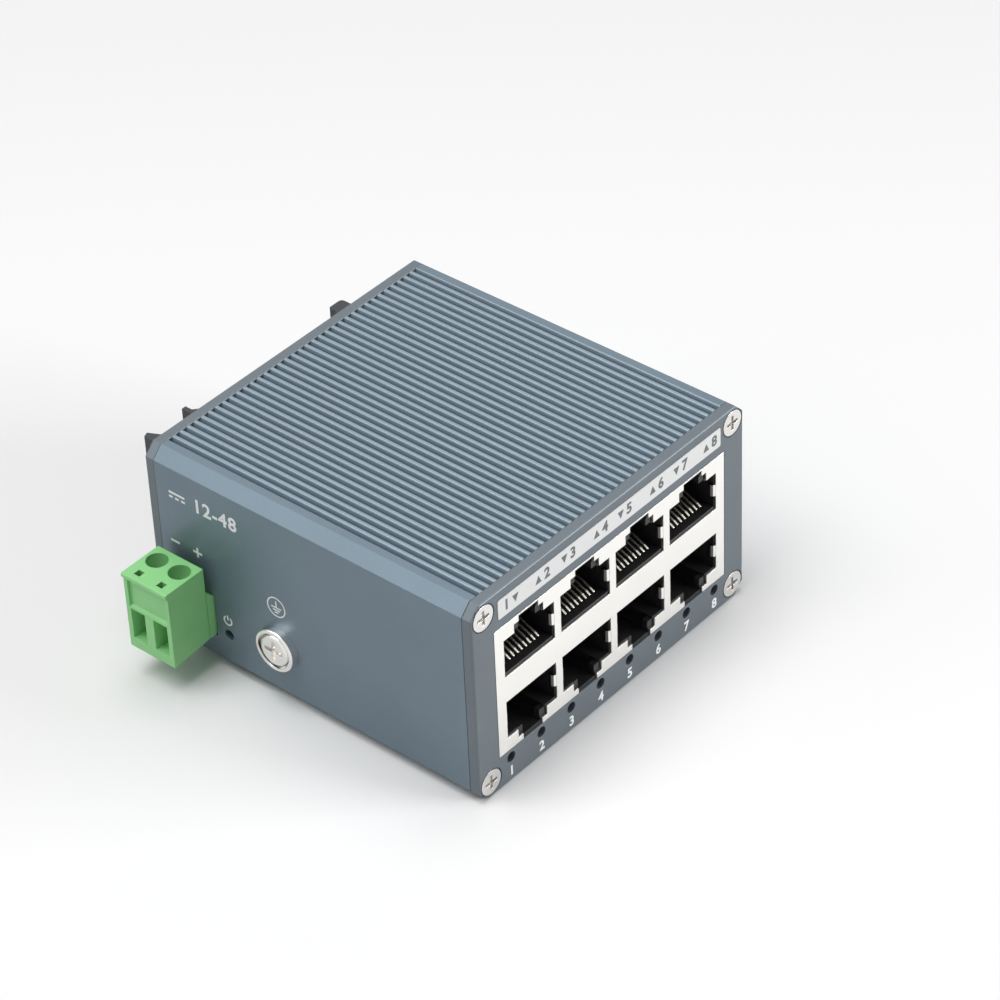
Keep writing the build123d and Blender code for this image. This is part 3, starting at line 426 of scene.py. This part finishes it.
pole_middle = (plug_low.y + plug_high.y) / 2
pole_half = 2.54 * MM
sign_line = 0.42 * MM
sign_arm = 0.8 * MM
sign_height = 22.6 * MM
bar_sign = stroke([(-sign_arm, 0), (sign_arm, 0)], sign_line)
tip, side = sign_arm + sign_line / 2, sign_line / 2
one_arm = [(tip, -side), (tip, side), (side, side)]
cross_outline = []
for quarter in range(4):
    turn = Matrix.Rotation(quarter * math.pi / 2, 2)
    cross_outline += [tuple(turn @ Vector(corner)) for corner in one_arm]
mark_mesh("plus_sign", [cross_outline], side_at(pole_middle - pole_half, sign_height), white_ink)
mark_mesh("minus_sign", bar_sign, side_at(pole_middle + pole_half, sign_height), white_ink)

range_height = 32.55 * MM
range_middle = 22.15 * MM
range_digit = 2.65 * MM
range_aside = 2.3 * MM
direct_aside = 6.2 * MM
range_place = side_at(range_middle - range_aside, range_height)
words("voltage_range", "12-48", range_digit, range_place, white_ink, bold=0.035)
dash = 0.42 * MM
gap = 0.95 * MM
line_rise = 0.4 * MM
dash_drop = 0.5 * MM
direct_width = 3 * dash + 2 * gap
direct_sign = stroke([(-direct_width / 2, line_rise), (direct_width / 2, line_rise)], sign_line)
for i in range(3):
    start = -direct_width / 2 + i * (dash + gap)
    direct_sign += stroke([(start, -dash_drop), (start + dash, -dash_drop)], sign_line)
direct_place = side_at(range_middle + direct_aside, range_height)
mark_mesh("direct_current_sign", direct_sign, direct_place, white_ink)

power_middle = (lamp_low.y + lamp_high.y) / 2
power_height = 10.9 * MM
power_radius = 0.85 * MM
power_line = 0.3 * MM
power_start = math.radians(122)
power_sweep = math.radians(296)
power_sign = ring(power_radius, power_line, power_start, power_sweep)
power_sign += stroke([(0, 0.25 * MM), (0, 1.0 * MM)], power_line)
mark_mesh("power_sign", power_sign, side_at(power_middle, power_height), white_ink)

earth_middle = (screw_low.y + screw_high.y) / 2
earth_height = 19.7 * MM
earth_radius = 1.9 * MM
earth_line = 0.24 * MM
earth_sign = ring(earth_radius, earth_line)
earth_sign += stroke([(0, 1.15 * MM), (0, 0.14 * MM)], earth_line)
for drop, reach in ((0.1, 1.0), (0.62, 0.66), (1.12, 0.3)):
    earth_sign += stroke([(-reach * MM, -drop * MM), (reach * MM, -drop * MM)], earth_line)
mark_mesh("earth_sign", earth_sign, side_at(earth_middle, earth_height), white_ink)

# Port lamps and power lamp. Small clear epoxy bodies on tinned leads, dark while the switch is off,
# set just behind the holes in the front plate and in the sleeve.
lamp_resin = Finish("lamp_resin", (0.035, 0.04, 0.037), roughness=0.16, ior=1.53, coat_weight=0.4)
resin_cloud = lamp_resin.noise(700.0)
lamp_resin.feed("Base Color", lamp_resin.mix(resin_cloud, (0.025, 0.03, 0.028), (0.06, 0.066, 0.06)))
for lamp in ("port_lamps", "power_lamp"):
    dress(lamp, lamp_resin)

# Circuit board. Glass-fibre board with green solder mask over copper tracks, resting on the lower
# screw channels and kept down by the ledges in the sleeve.
solder_mask = Finish("solder_mask", (0.02, 0.11, 0.05), roughness=0.32, ior=1.5)
track_cells = {"distance": "CHEBYCHEV", "feature": "DISTANCE_TO_EDGE"}
track_layout = {"Vector": solder_mask.place(), "Scale": 260.0}
track_share = 0.08
track = solder_mask.node("ShaderNodeTexVoronoi", track_cells, track_layout) < track_share
solder_mask.feed("Base Color", solder_mask.mix(track, (0.014, 0.085, 0.036), (0.03, 0.15, 0.065)))
solder_mask.grain(track, 0.03 * MM)
dress("main_board", solder_mask)

# Black parts on the board: switch chip, regulator, diodes, choke and the four transformers. Epoxy
# and ferrite bodies, matt from the mould, soldered to the board.
epoxy = moulded("black_epoxy", (0.03, 0.031, 0.033), 0.55)
for part in ("switch_chip", "buck_regulator", "input_diodes", "port_transformers"):
    dress(part, epoxy)
ferrite = moulded("grey_ferrite", (0.075, 0.076, 0.08), 0.62)
dress("buck_inductor", ferrite)

# Heat pad. Soft grey silicone sheet, cut to the size of the switch chip and squeezed between the
# chip and the case's floor.
silicone = moulded("heat_pad_silicone", (0.33, 0.37, 0.42), 0.72)
dress("thermal_pad", silicone)

# Can capacitors and crystal. Drawn aluminium and nickel-plated cans, bright, with a scored vent on
# the capacitors' tops.
can_metal = bright_plate("drawn_can", (0.78, 0.785, 0.79), 0.26)
for can in ("input_capacitors", "clock_crystal"):
    dress(can, can_metal)

# Small ceramic capacitors. Six blocks of fired tan ceramic in two rows of three, soldered flat to
# the board's upper face near the rear plate.
ceramic = moulded("fired_ceramic", (0.42, 0.30, 0.19), 0.45)
dress("ceramic_capacitors", ceramic)

# Power terminal. Light green moulded header on the board and the two-pole plug pushed into it,
# both in the same slightly glossy plastic.
green_deep = (0.212, 0.545, 0.202)
green_light = (0.26, 0.62, 0.242)
terminal_green = Finish("terminal_green", (0.2, 0.5, 0.2), ior=1.5)
green_cloud = terminal_green.noise(220.0, 2.0)
green_skin = terminal_green.noise(SKIN_SCALE, 3.0)
terminal_green.feed("Base Color", terminal_green.mix(green_cloud, green_deep, green_light))
terminal_green.feed("Roughness", 0.4 + (green_skin - 0.5) * 0.2)
terminal_green.grain(green_skin, SKIN_HEIGHT, edge=0.12 * MM)
for moulding in ("terminal_header", "plug_housing"):
    dress(moulding, terminal_green)

# Pins, contact strips, clamp screws and cages of the terminal. Tinned brass and zinc-plated steel.
# The screws sit at the bottom of their shafts and lift the cages.
tinned = bright_plate("tinned_brass", (0.70, 0.70, 0.68), 0.34)
for strip in ("header_pins", "plug_contacts"):
    dress(strip, tinned)
zinc = bright_plate("zinc_plate", (0.64, 0.65, 0.66), 0.3)
for pole in ("plus", "minus"):
    dress(f"clamp_screw_{pole}", zinc)
    dress(f"clamp_cage_{pole}", zinc)

# Earth screw. Bright nickel pan head set in a cup washer, through the sleeve's wall into a nut
# behind it.
for part in ("ground_screw", "ground_washer", "ground_nut"):
    dress(part, nickel)

# Rail clip. Bracket and latch in dark grey painted die-cast metal. Three zinc-plated screws hold
# the bracket on the rear plate, and the latch slides out from under it.
clip_paint = satin_paint("clip_dark_paint", (0.035, 0.038, 0.042), (0.06, 0.064, 0.07), 0.5)
for part in ("rail_bracket", "rail_latch"):
    dress(part, clip_paint)
dress("rail_bracket_screws", zinc)

# Latch spring. A coil of plain steel wire between the bracket's stop and the window of the latch,
# so it shortens by the latch's travel as the latch slides out.
spring_wire = bright_plate("spring_wire", (0.45, 0.45, 0.46), 0.35)
dress("latch_spring", spring_wire)
latch_coil = bpy.data.objects.new("latch_coil", nodes["latch_spring"].data.copy())
bpy.context.scene.collection.objects.link(latch_coil)
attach(latch_coil, "case")
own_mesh(latch_coil)
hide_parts("latch_spring")

# Stage. A plain pale floor that the case lies on, with the object's soft shadow left on it. The
# sky is seen as pure white by the camera and by the bright metal, and lights the rest softly.
sky_light = 0.2
sky_seen = 1.0
floor_size = 6.0
floor_gap = 0.02 * MM
floor_mesh = bpy.data.meshes.new("floor")
corners = [(-1, -1), (1, -1), (1, 1), (-1, 1)]
floor_mesh.from_pydata([(x * floor_size, y * floor_size, 0.0) for x, y in corners], [], [(0, 1, 2, 3)])
floor = bpy.data.objects.new("floor", floor_mesh)
floor.location.z = cad_box[0].z - floor_gap
bpy.context.scene.collection.objects.link(floor)
floor_paint = Finish("pale_floor", (0.76, 0.76, 0.76), roughness=0.9)
floor_mesh.materials.append(floor_paint.material)

world = bpy.data.worlds.new("studio")
world.use_nodes = True
bpy.context.scene.world = world
sky = world.node_tree.nodes["Background"]
sky.inputs["Color"].default_value = (1.0, 1.0, 1.0, 1.0)
sky.inputs["Strength"].default_value = sky_light
seen = world.node_tree.nodes.new("ShaderNodeBackground")
seen.inputs["Color"].default_value = (1.0, 1.0, 1.0, 1.0)
seen.inputs["Strength"].default_value = sky_seen
rays = world.node_tree.nodes.new("ShaderNodeLightPath")
mirrored = world.node_tree.nodes.new("ShaderNodeMath")
mirrored.operation = "MAXIMUM"
either = world.node_tree.nodes.new("ShaderNodeMath")
either.operation = "MAXIMUM"
blend = world.node_tree.nodes.new("ShaderNodeMixShader")
links = world.node_tree.links
links.new(rays.outputs["Is Glossy Ray"], mirrored.inputs[0])
links.new(rays.outputs["Is Transmission Ray"], mirrored.inputs[1])
links.new(rays.outputs["Is Camera Ray"], either.inputs[0])
links.new(mirrored.outputs[0], either.inputs[1])
links.new(either.outputs[0], blend.inputs[0])
links.new(sky.outputs[0], blend.inputs[1])
links.new(seen.outputs[0], blend.inputs[2])
links.new(blend.outputs[0], world.node_tree.nodes["World Output"].inputs["Surface"])


def softbox(name, place, aim, size, power):
    """One soft studio lamp, pointed at a spot."""
    lamp = bpy.data.lights.new(name, "AREA")
    lamp.shape = "RECTANGLE"
    lamp.size, lamp.size_y = size
    lamp.energy = power
    made = bpy.data.objects.new(name, lamp)
    made.location = place
    made.rotation_mode = "QUATERNION"
    made.rotation_quaternion = (Vector(aim) - Vector(place)).to_track_quat("-Z", "Y")
    bpy.context.scene.collection.objects.link(made)


case_middle = (0.0, 0.0, 0.02)
softbox("key_softbox", (-0.50, 0.42, 0.50), case_middle, (0.35, 0.35), 0.87)
softbox("top_softbox", (0.10, 0.10, 0.85), case_middle, (0.5, 0.5), 2.7)
softbox("left_softbox", (-0.28, 0.12, 0.80), case_middle, (0.5, 0.5), 3.9)
softbox("front_softbox", (0.45, -0.80, 0.30), case_middle, (0.5, 0.4), 7.5)

# Camera. A long lens above the corner between the terminal side and the ports, rolled a little
# to the right.
camera_place = Vector((-374.34, -344.91, 420.16)) * MM
camera_aim = Vector((9.0, -3.41, 20.0)) * MM
camera_roll = math.radians(-2.62)
camera_data = bpy.data.cameras.new("camera")
camera_data.sensor_width = 36.0
camera_data.lens = 140.0
camera_data.clip_start = 0.01
camera = bpy.data.objects.new("camera", camera_data)
camera.location = camera_place
look = (camera_aim - camera_place).to_track_quat("-Z", "Y").to_matrix()
camera.rotation_euler = (look @ Matrix.Rotation(camera_roll, 3, "Z")).to_euler()
bpy.context.scene.collection.objects.link(camera)
bpy.context.scene.camera = camera
bpy.context.scene.view_settings.view_transform = "Standard"
